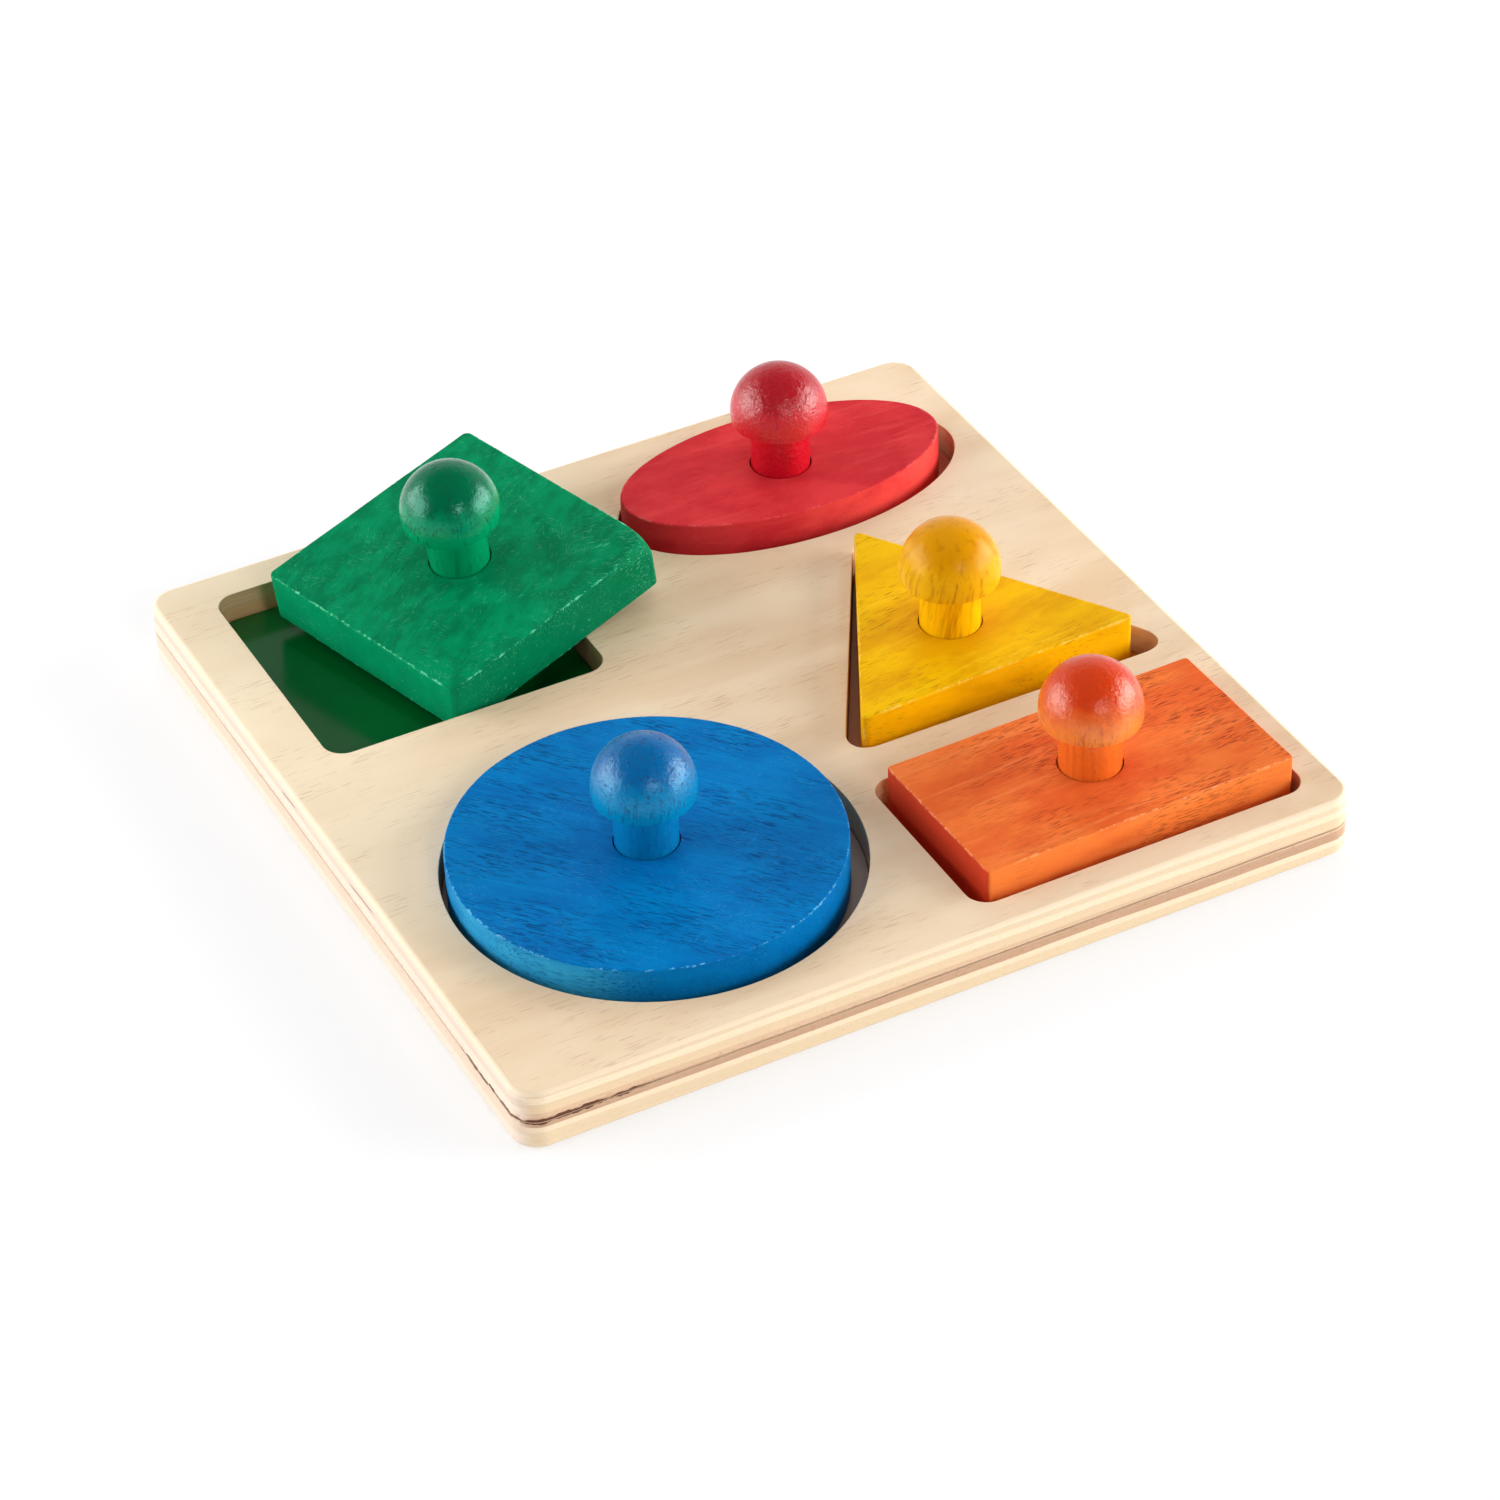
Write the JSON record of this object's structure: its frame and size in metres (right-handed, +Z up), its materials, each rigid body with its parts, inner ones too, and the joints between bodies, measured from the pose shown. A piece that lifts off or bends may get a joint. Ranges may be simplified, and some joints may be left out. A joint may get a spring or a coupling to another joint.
{
  "type": "wooden shape puzzle",
  "caption": "Square plywood board with recesses for thick stained blocks, each lifted out by a turned mushroom knob; the square block stands askew in its recess.",
  "frame": {"origin": "middle of the board's flat underside", "axes": "+X along the board's front edge to the right, +Y from the front edge to the back, +Z up, out of the recesses"},
  "size_m": [0.28, 0.2804, 0.0749],
  "materials": {
    "plywood": "pale plywood under clear satin lacquer, with fine dark pore streaks along X",
    "green_recess_floor": "smooth glossy coat with no grain",
    "red_recess_floor": "smooth glossy coat with no grain",
    "yellow_recess_floor": "smooth glossy coat with no grain",
    "blue_recess_floor": "smooth glossy coat with no grain",
    "orange_recess_floor": "smooth glossy coat with no grain",
    "green_stained_wood": "stained solid wood with a thin satin lacquer",
    "green_lacquered_knob": "turned, stained wood under a semi-gloss lacquer",
    "red_stained_wood": "stained solid wood with a thin satin lacquer",
    "red_lacquered_knob": "turned, stained wood under a semi-gloss lacquer",
    "yellow_stained_wood": "stained solid wood with a thin satin lacquer",
    "yellow_lacquered_knob": "turned, stained wood under a semi-gloss lacquer",
    "blue_stained_wood": "stained solid wood with a thin satin lacquer",
    "blue_lacquered_knob": "turned, stained wood under a semi-gloss lacquer",
    "orange_stained_wood": "stained solid wood with a thin satin lacquer",
    "orange_lacquered_knob": "turned, stained wood under a semi-gloss lacquer",
    "plated_steel": "bright zinc plate"
  },
  "bodies": {
    "board": {"top_board": "plywood", "backing_board": "plywood", "square_recess_floor": "green_recess_floor", "oval_recess_floor": "red_recess_floor", "triangle_recess_floor": "yellow_recess_floor", "round_recess_floor": "blue_recess_floor", "rectangle_recess_floor": "orange_recess_floor"},
    "square_piece": {"square_block": "green_stained_wood", "square_knob": "green_lacquered_knob", "square_knob_screw": "plated_steel"},
    "oval_piece": {"oval_block": "red_stained_wood", "oval_knob": "red_lacquered_knob", "oval_knob_screw": "plated_steel"},
    "triangle_piece": {"triangle_block": "yellow_stained_wood", "triangle_knob": "yellow_lacquered_knob", "triangle_knob_screw": "plated_steel"},
    "round_piece": {"round_block": "blue_stained_wood", "round_knob": "blue_lacquered_knob", "round_knob_screw": "plated_steel"},
    "rectangle_piece": {"rectangle_block": "orange_stained_wood", "rectangle_knob": "orange_lacquered_knob", "rectangle_knob_screw": "plated_steel"}
  },
  "joints": [
    {"name": "square_lift", "type": "slide", "parent": "board", "child": "square_piece", "axis": [0, 0, 1], "range_m": [0, 0.06]},
    {"name": "oval_lift", "type": "slide", "parent": "board", "child": "oval_piece", "axis": [0, 0, 1], "range_m": [0, 0.06]},
    {"name": "triangle_lift", "type": "slide", "parent": "board", "child": "triangle_piece", "axis": [0, 0, 1], "range_m": [0, 0.06]},
    {"name": "round_lift", "type": "slide", "parent": "board", "child": "round_piece", "axis": [0, 0, 1], "range_m": [0, 0.06]},
    {"name": "rectangle_lift", "type": "slide", "parent": "board", "child": "rectangle_piece", "axis": [0, 0, 1], "range_m": [0, 0.06]}
  ]
}
